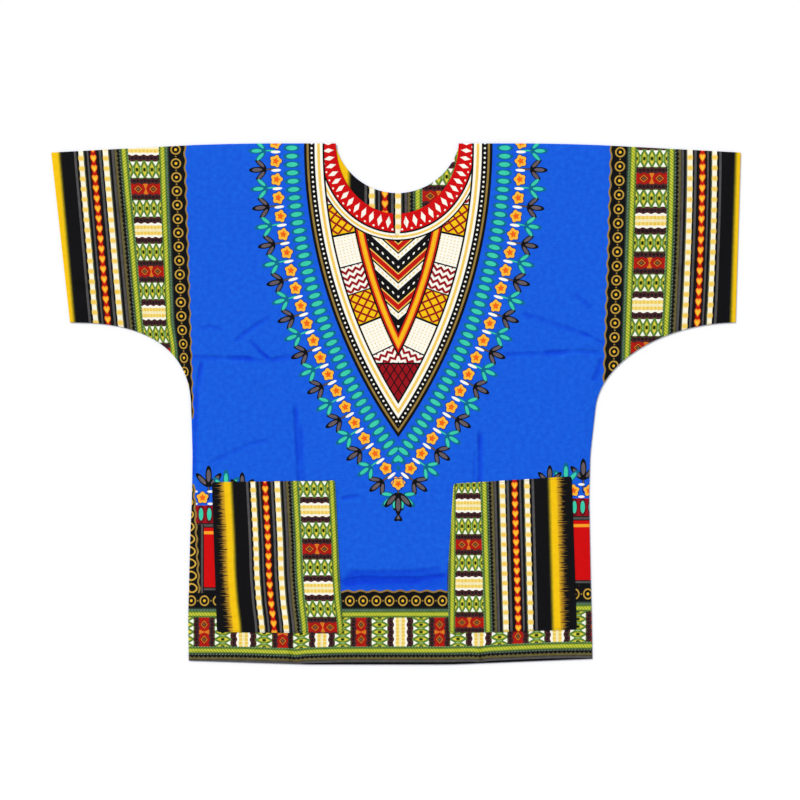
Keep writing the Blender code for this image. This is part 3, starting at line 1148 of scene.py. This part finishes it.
def paint_red_block(block, place, from_red):
    in_red = from_red < 8.0
    lozenge = abs(abs(place) - 12.2) / 8.6 + from_red / 7.4
    block = paint(block, dye(124, 10, 14), in_red & (lozenge < 1.0))
    block = paint(block, dye(222, 132, 34), in_red & (abs(lozenge - 0.70) < 0.09))
    block = paint(block, OLIVE, in_red & (lozenge < 0.34))
    return paint(block, dye(214, 120, 30), in_red & (abs(place) - 0.42 * from_red < 0.6))


# %% The whole border
RING_MIDDLE, RING_START = 178.2, 4.0
RING_PITCH = 21.5


@node_group
def border_print(across, along):
    colour = border_ground(across, along, RING_PITCH)
    colour = paint_stripes(colour, across, along)
    colour = paint_woven_edges(colour, across, along)
    place, from_cream = across - BLOCK_MIDDLE, fold(along, HALF_REPEAT)
    block = cream_and_green_blocks(place, from_cream)
    block = paint_red_block(block, place, HALF_REPEAT - from_cream)
    colour = paint(colour, block, abs(place) < BLOCK_HALF)
    place, along = across - RING_MIDDLE, along - RING_START
    rings = ring_row(place, along, radius=6.8, line=1.1, pitch=RING_PITCH)
    colour = stamp(colour, rings, dye(190, 152, 62), dye(236, 186, 40))
    return [stamp(colour, dot_row(place, along - RING_PITCH / 2, radius=1.3, pitch=RING_PITCH), GOLD)]


# %% [markdown]
# ## Woven cotton
#
# The threads of a plain weave are too fine to model, so a group gives their height for a bump, and a slow,
# weak mottling, because a dyed cotton is never one even colour. Both read the piece's own place, so nothing
# slides. A power darkens the colour where the creases are deep, as painted shade, and leaves white as it
# is.

# %% Weave, mottling and painted crease shade
THREAD = 0.00055
SLUB_STRETCH, CLOUD_SCALE = (80.0, 560.0, 1.0), 130.0
CREASE_DEEPENING, ROUGHNESS = 0.30, 0.78


def own_place(tree):
    """A point's place in its piece's own coordinates, and that place's x and y."""
    place = Value(tree.nodes.new("ShaderNodeTexCoord"), "Object")
    split = add_node(tree, "ShaderNodeSeparateXYZ", {0: place})
    return place, Value(split, 0), Value(split, 1)


def noise_node(tree, dimensions, **inputs):
    return Value(add_node(tree, "ShaderNodeTexNoise", inputs, noise_dimensions=dimensions))


@node_group
def cotton(color, mottle, crease):
    tree = color.tree
    place, x, y = own_place(tree)
    stretch = add_node(tree, "ShaderNodeVectorMath", {0: place, 1: SLUB_STRETCH}, operation="MULTIPLY")
    slub = noise_node(tree, "2D", Vector=Value(stretch), Scale=1.0, Detail=1.0)
    cloud = noise_node(tree, "2D", Vector=place, Scale=CLOUD_SCALE, Detail=4.0)
    warp, weft = (math_node("SINE", distance * (math.pi / THREAD)) for distance in (x, y))
    height = 0.5 * (warp * weft + 1.6 * slub)
    uneven = (0.45 * (slub - 0.5) + (cloud - 0.5)) * mottle
    toned = add_node(tree, "ShaderNodeHueSaturation", {"Value": 1.0 + 0.5 * uneven, "Color": color})
    # painted shade: a power of the colour, greater where the creases are deep, darkens all but white
    deepening = 1.0 + (CREASE_DEEPENING * crease - uneven)
    deepened = add_node(tree, "ShaderNodeGamma", {"Color": Value(toned), "Gamma": deepening})
    return [Value(deepened), height, ROUGHNESS + uneven]


# %% [markdown]
# ## A finish from a print
#
# Every finish is the same cloth under another print, so one helper makes them all. Cotton is rough, and has
# a slight sheen from its fibre ends.

# %% Make a cloth finish


def map_place(tree, name):
    """Reads a UV map and gives its two distances, in mm."""
    uv_map = add_node(tree, "ShaderNodeUVMap", uv_map=name)
    split = add_node(tree, "ShaderNodeSeparateXYZ", {0: Value(uv_map)})
    return 1000.0 * Value(split, 0), 1000.0 * Value(split, 1)


def cloth_finish(name, print_colour, mottle=0.22, relief=0.22):
    finish = bpy.data.materials.new(name)
    finish.use_nodes = True
    tree = finish.node_tree
    # the creases' depth, read from the "fold" attribute, for the painted crease shade
    crease = Value(add_node(tree, "ShaderNodeAttribute", attribute_name="fold"), "Fac")
    colour, height, roughness = cotton(print_colour(tree), mottle, crease)
    bump = add_node(tree, "ShaderNodeBump", {"Strength": relief, "Distance": 0.0002, "Height": height})
    look = {
        "Base Color": colour, "Roughness": roughness, "Normal": Value(bump),
        "Specular IOR Level": 0.10, "Sheen Weight": 0.02, "Sheen Roughness": 0.5,
    }
    for key, given in look.items():
        feed(tree.nodes["Principled BSDF"].inputs[key], given)
    print("   finish:", name, "nodes:", len(tree.nodes))
    return finish


def border_colour(tree):
    return border_print(*map_place(tree, "border"))[0]


ground_finish = cloth_finish("blue_cotton", lambda tree: BLUE)
reverse_finish = cloth_finish("wrong_side_of_cotton", lambda tree: dye(72, 124, 214), mottle=0.35)
border_finish = cloth_finish("border_print", border_colour)

# %% [markdown]
# ## The border on the pockets
#
# The pockets are cut from the same border, but from a place where the yellow stripe runs out into the
# black in short strokes, like a brush that was dragged sideways. The strokes have uneven lengths, which a
# noise along the stripe gives.

# %% The print of the pockets
STROKES_START, LONGEST_STROKE = -11.2, 19.0
STROKE_FADING = (
    (0.0, YELLOW), (0.16, dye(200, 152, 28)), (0.50, dye(128, 96, 34)), (0.85, dye(56, 44, 26)), (1.0, BLACK),
)


def pocket_colour(tree):
    across, along = map_place(tree, "border")
    past_yellow = (STROKES_START - across) / LONGEST_STROKE
    uneven = noise_node(tree, "1D", W=along, Scale=0.52, Detail=2.0)
    length = most(1.75 * (uneven - 0.26), 0.04)
    fading = bands(past_yellow, 0.0, 1.0, STROKE_FADING, blended=True)
    colour = paint(border_colour(tree), fading, past_yellow > 0.0)
    return paint(colour, BLACK, past_yellow > length)


pocket_finish = cloth_finish("pocket_print", pocket_colour)

# %% [markdown]
# ## The yoke
#
# A shirt of this kind has a rich ornament round its neck. This one is designed for this lesson: a pointed
# yoke, drawn in bands that follow its edge. Outside the edge come petals, rosettes and leaf sprigs; inside
# it come dotted and plain lines, a band of panels, a warm stripe, and a middle field of chevrons. A red
# collar follows the neckline.

# %% Petals, rosettes and sprigs round the yoke
PETALS_OUT, ROSETTES_OUT, SPRIGS_OUT = 19.0, 44.0, 56.0
HALO_PITCH = 27.0
ROSETTE_RADIUS = 11.0
ALONE = 1000.0  # a pitch so long that a motif shows once
POINT_DEPTH = 1000 * math.sqrt((ARC_RADIUS + ROSETTES_OUT / 1000) ** 2 - ARC_ASIDE**2)


@node_group
def yoke_halo(inside, length, aside, depth):
    petal_start = length_at_tip(PETALS_OUT)
    place = inside + PETALS_OUT
    petals = petal_row(place, length - petal_start, half_length=11.5, half_width=4.8, pitch=12.6)
    colour = stamp(BLUE, petals, DEEP_TEAL, TEAL)
    sprig_start = length_at_tip(SPRIGS_OUT + 1) - 5.0
    sprigs = sprig_row(-SPRIGS_OUT - inside, length - sprig_start, size=28.0, pitch=HALO_PITCH)
    is_teal = abs(beat(length, 2 * HALO_PITCH, sprig_start)) < HALO_PITCH / 2
    colour = stamp(colour, sprigs, paint(BLACK, DEEP_TEAL, is_teal), paint(TWIG, TEAL, is_teal))
    rosette_start = length_at_tip(ROSETTES_OUT) - 29.0
    place = inside + ROSETTES_OUT
    rosettes = rosette_row(place, length - rosette_start, radius=ROSETTE_RADIUS, pitch=HALO_PITCH)
    colour = stamp(colour, rosettes, *ROSETTE_DYES)
    dash = oval(place, 7.5, beat(length, HALO_PITCH, rosette_start + HALO_PITCH / 2), 2.1)
    colour = paint(colour, WHITE, dash < 1.0)
    below = depth - POINT_DEPTH
    colour = stamp(colour, sprig_row(below - 10.0, aside, size=36.0, pitch=ALONE), BLACK, TWIG)
    return [stamp(colour, rosette_row(below, aside, radius=ROSETTE_RADIUS, pitch=ALONE), *ROSETTE_DYES)]


# %% The panels between the warm stripe and the flank
PANEL_REPEAT = 150.0
PANEL_BANDS = (
    (0.0, BLACK), (2.4, WHITE), (52.0, BLACK), (54.4, WHITE), (98.0, BLACK), (100.4, YELLOW), (149.0, BLACK),
)
PANELS_MIDDLE, PANELS_END = 48.2, 65.5


def yoke_panels(inside, length):
    tile = wrap(length, PANEL_REPEAT)
    panel = bands(tile, 0.0, PANEL_REPEAT, PANEL_BANDS)
    from_middle = inside - PANELS_MIDDLE
    speck = oval(beat(from_middle, 5.6), 1.0, beat(length, 5.2), 1.0)
    panel = paint(panel, STRAW, (abs(tile - 27.2) < 22.5) & (speck < 1.0))
    zigzag = fold(tile + fold(from_middle, 5.6), 5.4)
    panel = paint(panel, CRIMSON, (abs(tile - 76.2) < 21.6) & (zigzag < 2.7))
    net = fold(from_middle, 8.4) / 8.4 + fold(tile - 100.4, 8.1) / 8.1
    return paint(panel, CRIMSON, (abs(tile - 124.7) < 24.3) & (abs(net - 1.0) < 0.26))


# %% The chevrons, the warm stripe and the point inside the yoke
CHEVRON_REPEAT = 46.0
CHEVRON_BANDS = (
    (0.0, BLACK), (17.0, STRAW), (19.2, RED), (28.5, STRAW), (30.7, BLACK), (33.5, WHITE), (43.0, BLACK),
)
WARM_BANDS = (
    (64.0, BLACK), (68.0, RED), (70.5, ORANGE), (73.0, YELLOW), (76.0, ORANGE), (78.0, RED), (80.5, BLACK),
)
TIP_START, TIP_LINE_END = 339.5, 342.0


@node_group
def yoke_heart(inside, length, aside, depth):
    chevron = wrap(depth + 0.9 * aside, CHEVRON_REPEAT)
    colour = bands(chevron, 0.0, CHEVRON_REPEAT, CHEVRON_BANDS)
    colour = stamp(colour, dot_row(chevron - 8.0, aside, radius=1.7, pitch=8.0), WHITE)
    colour = stamp(colour, dot_row(chevron - 38.2, aside, radius=1.5, pitch=6.0), STRAW)
    colour = paint(colour, bands(inside, 64.0, 84.0, WARM_BANDS), inside < 83.0)
    colour = paint(colour, yoke_panels(inside, length), inside < PANELS_END)
    lean = 0.62 * depth
    lattice = least(fold(aside + lean, 6.2), fold(aside - lean, 6.2))
    tip = paint(CRIMSON, BLACK, lattice < 1.0)
    tip = paint(tip, BLACK, depth < TIP_LINE_END)
    return [paint(colour, tip, depth > TIP_START)]


# %% The collar and the lines along the flank
COLLAR_BANDS = (
    (-5.0, BRIGHT_RED), (26.0, BLACK), (28.5, WHITE), (31.5, STRAW), (34.5, WHITE), (37.0, BLACK),
)
COLLAR_END, COLLAR_PITCH = 39.5, 11.5
FLANK_BANDS = (
    (0.0, BLACK), (4.0, GOLD), (7.2, BLACK), (16.5, WHITE), (20.4, STRAW), (24.6, WHITE), (28.6, BLACK),
)
FLANK_END = 31.5


def yoke_colour(tree):
    inside, length = map_place(tree, "yoke")
    off, turn = map_place(tree, "neckline")
    _, x, y = own_place(tree)
    aside, depth = 1000.0 * abs(x - YOKE_X), 1000.0 * (HALF_LENGTH - y)
    colour = yoke_heart(inside, length, aside, depth)[0]
    collar = bands(off, -5.0, 45.0, COLLAR_BANDS)
    diamond = abs(off - 13.0) / 9.0 + abs(beat(turn, COLLAR_PITCH)) / 3.3
    collar = paint(collar, WHITE, diamond < 1.0)
    dots = dot_row(off - 23.0, turn - COLLAR_PITCH / 2, radius=1.3, pitch=COLLAR_PITCH)
    colour = paint(colour, stamp(collar, dots, WHITE), off < COLLAR_END)
    flank = bands(inside, 0.0, 34.0, FLANK_BANDS)
    flank = stamp(flank, dot_row(inside - 11.8, length, radius=1.6, pitch=7.6), WHITE)
    colour = paint(colour, flank, inside < FLANK_END)
    return paint(colour, yoke_halo(inside, length, aside, depth)[0], inside < 0.0)


yoke_finish = cloth_finish("yoke_print", yoke_colour)

# %% [markdown]
# ## Beside the pockets
#
# A little of the print shows between each pocket and the side seam: the end of the band of rings, a red bar
# with a grey outline, petals on dark red, a rosette, and leaf tips that stand above the pocket.

# %% The print beside the pockets
RIGHT_SIDE_RISE = 11.0
SHOWN_FROM = 262.0
SIDE_ROSETTES_UP, SIDE_PETALS_UP = -145.0, -170.5
# Distance from the middle, height and size of each sprig, and the dyes of its rim and leaves
SIDE_SPRIGS = (
    (290.0, -132.0, 34.0, BLACK, TWIG),
    (263.0, -138.0, 34.0, DEEP_TEAL, TEAL),
    (238.0, -139.0, 31.0, BLACK, TWIG),
)
SIDE_BANDS = (
    (-300.0, BLACK), (-288.5, GREY), (-285.8, BLACK), (-284.2, BRIGHT_RED), (-202.0, ORANGE),
    (-197.5, BRIGHT_RED), (-192.0, BLACK), (-190.0, GREY), (-186.5, BLACK), (-184.5, CRIMSON), (-157.0, BLUE),
)
SIDE_TOP = -157.0
RINGS_TOP, RINGS_OUT, SIDE_RING_PITCH = -124.0, 313.0, 19.0


def side_colour(tree):
    _, x, y = own_place(tree)
    on_right = x > 0.0
    out, up = abs(1000.0 * x), 1000.0 * y - RIGHT_SIDE_RISE * on_right
    colour = BLUE
    for middle, base, size, rim, leaf in SIDE_SPRIGS:
        colour = stamp(colour, sprig_row(up - base, out - middle, size=size, pitch=ALONE), rim, leaf)
    shown = out > SHOWN_FROM
    beside, above = out - 299.5, up - SIDE_ROSETTES_UP
    rosettes = rosette_row(above, beside, radius=ROSETTE_RADIUS, pitch=25.0)
    colour = stamp(colour, [mask & shown for mask in rosettes], *ROSETTE_DYES)
    dash = oval(abs(above) - 9.5, 1.9, beat(beside, 25.0, 12.5), 5.0)
    colour = paint(colour, WHITE, shown & (dash < 1.0))
    colour = paint(colour, bands(up, -300.0, -100.0, SIDE_BANDS), shown & (up < SIDE_TOP))
    above = up - SIDE_PETALS_UP
    petals = petal_row(above, out - 289.0, half_length=13.0, half_width=4.6, pitch=12.8)
    dark = shown & (abs(above) < 13.5)
    colour = stamp(colour, [mask & dark for mask in petals], dye(96, 8, 22), TEAL)
    on_left = 1.0 - on_right
    frame_line = bands(out, 290.0, 330.0, ((290.0, BLACK), (298.6, GREY), (301.6, BLACK)))
    colour = paint(colour, frame_line, on_left & (up < -186.5) & (out > 297.2))
    wave = cosine(up * (2 * math.pi / SIDE_RING_PITCH))
    edge = (out - RINGS_OUT) + (wave - 0.050 * (up - RINGS_TOP))
    in_rings = on_left & (up < RINGS_TOP)
    colour = paint(colour, GOLD, in_rings & (edge > -1.4))
    colour = paint(colour, BLACK, in_rings & (edge > 1.4))
    rings = ring_row(edge - 11.0, up, radius=6.6, line=1.3, pitch=SIDE_RING_PITCH)
    return paint(colour, dye(206, 166, 62), in_rings & rings[0])


side_finish = cloth_finish("side_print", side_colour)

# %% [markdown]
# ## The back
#
# The back is the whole shape of the shirt. Its good side is underneath, and the upper side shows the paler
# wrong side of the cloth, which is seen only inside the neck. It lies flat on the table but for its own
# soft creases. A crease takes less than half of the room that the front leaves it, so the two cloths never
# touch away from a seam.

# %% Lay the back
PANEL_BOX = (-HALF_SPAN, HALF_SPAN, -HALF_LENGTH, HALF_LENGTH)
BACK_STEP = 0.010
BACK_ROUNDS = (0.0045, -0.0005)


def grid_lines(box, step):
    low_x, high_x, low_y, high_y = box
    return rule_lines(low_x, high_x, step), rule_lines(low_y, high_y, step)


def back_underside(x, y, from_edge, from_seam):
    crease = max(crease_depth(x, y, BACK_CREASES), 0.0)
    return min(crease, 0.4 * (front_underside(x, y, from_edge, from_seam) - CLOTH)) if crease else 0.0


outline, back_lines = smooth_outline("back_panel"), grid_lines(PANEL_BOX, BACK_STEP)
cloth = make_cloth(outline, back_lines, back_underside, CLOTH, BACK_CREASES, BACK_ROUNDS)
back_finishes = {"ground": ground_finish, "border": border_finish, "reverse": reverse_finish}
back = dress("back", cloth, back_zone_of, back_finishes, seen="lower")
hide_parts("back_panel")

# %% [markdown]
# ## The facing
#
# The back neckline is finished with a facing, a curved band cut from the border print. It lies on the back
# inside the shirt, and shows as a crescent of stripes in the neck opening and through the slit.

# %% Lay the facing
FACING_BOX = (-0.17, 0.18, 0.25, HALF_LENGTH)
FINE_STEP = 0.005
FACING_WAVE = 0.00025
outline = smooth_outline("neck_facing")


def facing_underside(x, y, from_edge, from_seam):
    wave = 0.5 + 0.5 * noise.noise((x * 30, y * 30, 2.2))
    return CLOTH + LEAST_GAP + FACING_WAVE * wave * eased(from_edge / 0.02)


cloth = make_cloth(outline, grid_lines(FACING_BOX, FINE_STEP), facing_underside, FACING_WALL)
facing_finishes = {"border": border_finish, "reverse": reverse_finish}
facing = dress("facing", cloth, lambda x, y: ("border", facing_place), facing_finishes)
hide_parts("neck_facing")

# %% [markdown]
# ## The front
#
# One line of the front's grid lies exactly on the middle of the yoke, because the print is mirrored there,
# and two lie where a finish ends.

# %% Lay the front
FRONT_ROUNDS = (0.0025, -0.0005)
NEAREST_LINE = 0.0016
outline = smooth_outline("front_panel")
front_edge_distance = border_distance(outline)
front_lines = grid_lines(PANEL_BOX, FINE_STEP)
for axis, place in ((0, YOKE_X), (1, LEFT_SIDE_END), (1, RIGHT_SIDE_END)):
    kept = [line for line in front_lines[axis] if abs(line - place) > NEAREST_LINE]
    front_lines[axis][:] = sorted(kept + [place])
cloth = make_cloth(outline, front_lines, front_underside, WALL, CREASES, FRONT_ROUNDS)
front_finishes = {
    "ground": ground_finish, "border": border_finish, "yoke": yoke_finish, "side": side_finish,
    "reverse": reverse_finish,
}
front = dress("front", cloth, zone_of, front_finishes)
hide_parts("front_panel")

# %% [markdown]
# ## The pockets
#
# Each pocket is laid on the front, so its underside is the front's own upper side moved out by a seam's
# gap. Round its edge it is sewn flat; its mouth, at the top, is hemmed and stands off a little more.

# %% Lay the pockets
POCKET_CORNER = 8  # degrees
POCKET_HEM, MOUTH_HEM = 0.0025, 0.018
MOUTH_DEPTH = 0.030
POCKET_LIFT, MOUTH_LIFT, POCKET_WAVE, SEWN_DEPTH = 0.00025, 0.0004, 0.0002, 0.00022
pocket_places = {"left": left_pocket_place, "right": right_pocket_place}
pockets, pocket_boxes, pocket_undersides = {}, {}, {}


def front_top(x, y):
    return front_underside(x, y, front_edge_distance(x, y), seam_distance(x, y)) + WALL


def pocket_lying(top):
    """The height of the underside of a pocket whose mouth is at top."""

    def underside(x, y, from_edge, from_seam):
        mouth = eased(1 - (top - y) / MOUTH_DEPTH)
        sewn = SEWN_DEPTH * eased(1 - abs(top - y - MOUTH_HEM) / 0.003)
        loose = POCKET_LIFT + MOUTH_LIFT * mouth + POCKET_WAVE * noise.noise((x * 22, y * 19, 7.7))
        return front_top(x, y) + SEAM_GAP + (loose - sewn) * eased(from_edge / 0.020)

    return underside


for side, place in pocket_places.items():
    outline = smooth_outline("pocket_" + side, POCKET_CORNER)
    box = box_of(outline)
    underside = pocket_lying(box[3])
    cloth = make_cloth(outline, grid_lines(box, FINE_STEP), underside, WALL)
    pocket_finishes = {"border": pocket_finish, "reverse": reverse_finish}
    pocket = dress(side + "_pocket", cloth, lambda x, y, place=place: ("border", place), pocket_finishes)
    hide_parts("pocket_" + side)
    pockets[side], pocket_boxes[side], pocket_undersides[side] = pocket, box, underside

# %% [markdown]
# ## Stitches
#
# A stitch shows as a short, round bit of thread that sinks into the cloth at both ends. One small ball,
# stretched along the seam, is enough for each, and all the stitches of a seam are one piece.

# %% Sew the seams
STITCH_PITCH = 0.0032
STITCH_HALF = 0.00125
THREAD_RADIUS = 0.00024
LOOK_AHEAD = 0.001
thread_finish = cloth_finish("sewing_thread", lambda tree: dye(20, 30, 60), mottle=0.3, relief=0.1)


def sew(name, paths, height):
    bm = bmesh.new()
    for path in paths:
        for x, y, angle in spread_along(path, STITCH_PITCH):
            low = height(x, y)
            high = height(x + LOOK_AHEAD * math.cos(angle), y + LOOK_AHEAD * math.sin(angle))
            tilt = math.atan2(high - low, LOOK_AHEAD)
            place = Matrix.Translation((x, y, low + 0.35 * THREAD_RADIUS))
            place @= Matrix.Rotation(angle, 4, "Z") @ Matrix.Rotation(-tilt, 4, "Y")
            place @= Matrix.Diagonal((STITCH_HALF, THREAD_RADIUS, THREAD_RADIUS, 1.0))
            bmesh.ops.create_icosphere(bm, subdivisions=1, radius=1.0, matrix=place)
    return add_piece(name, bm, [thread_finish])


front_stitches = sew("front_stitches", seam_lines.values(), front_top)

# %% [markdown]
# ### The seams of the pockets
#
# A pocket is sewn on round three sides, a little inside its edge, and one straight line of stitches runs
# through the hem of its mouth.

# %% Sew the pockets on
MOUTH_INSET = 0.012
pocket_stitches = {}
for side in ("left", "right"):
    panel = flat_outline(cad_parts["pocket_" + side])
    low_x, high_x, low_y, high_y = pocket_boxes[side]
    face = panel.faces[:][0]
    inset(panel, face, POCKET_HEM)
    ring = [loop.vert.co.copy() for loop in face.loops]
    panel.free()
    start = max(range(len(ring)), key=lambda i: ring[i].y - 0.3 * abs(ring[i].x - low_x))
    path = [(c.x, c.y) for c in ring[start:] + ring[:start + 1]]
    sides = [(a, b) for a, b in zip(path, path[1:]) if min(a[1], b[1]) < high_y - MOUTH_INSET]
    mouth_y = high_y - MOUTH_HEM - 0.004
    mouth = [(low_x + MOUTH_INSET, mouth_y), (high_x - MOUTH_INSET, mouth_y)]

    def pocket_top(x, y, underside=pocket_undersides[side]):
        return underside(x, y, from_edge=0.004, from_seam=1.0) + WALL

    pocket_stitches[side] = sew(side + "_pocket_stitches", sides + [mouth], pocket_top)

# %% [markdown]
# ## What the cloth was cut from
#
# Each panel is listed as a sheet that is laid out, with the size of the rectangle that it was cut from,
# the true area of its shape, what it lies on and what goes with it.

SHEETS = (
    (back, (1.068, 0.807), 0.6156, ["table_top"], []),
    (facing, (0.339, 0.149), 0.0273, [back], []),
    (front, (1.068, 0.807), 0.6100, [back, facing], [front_stitches]),
    (pockets["left"], (0.203, 0.237), 0.0452, [front], [pocket_stitches["left"]]),
    (pockets["right"], (0.201, 0.243), 0.0453, [front], [pocket_stitches["right"]]),
)
for piece, flat, area, under, with_pieces in SHEETS:
    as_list(under)
    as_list(with_pieces)
print("sheets:", len(SHEETS))

# %% The dressed size, and the count of triangles
dressed_box = [list(corner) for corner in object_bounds()]
print("dressed size, mm:", [round(1000 * (b - a), 1) for a, b in zip(*dressed_box)])
triangles = sum(len(p.vertices) - 2 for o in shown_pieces() if o.type == "MESH" for p in o.data.polygons)
print("triangles:", triangles)
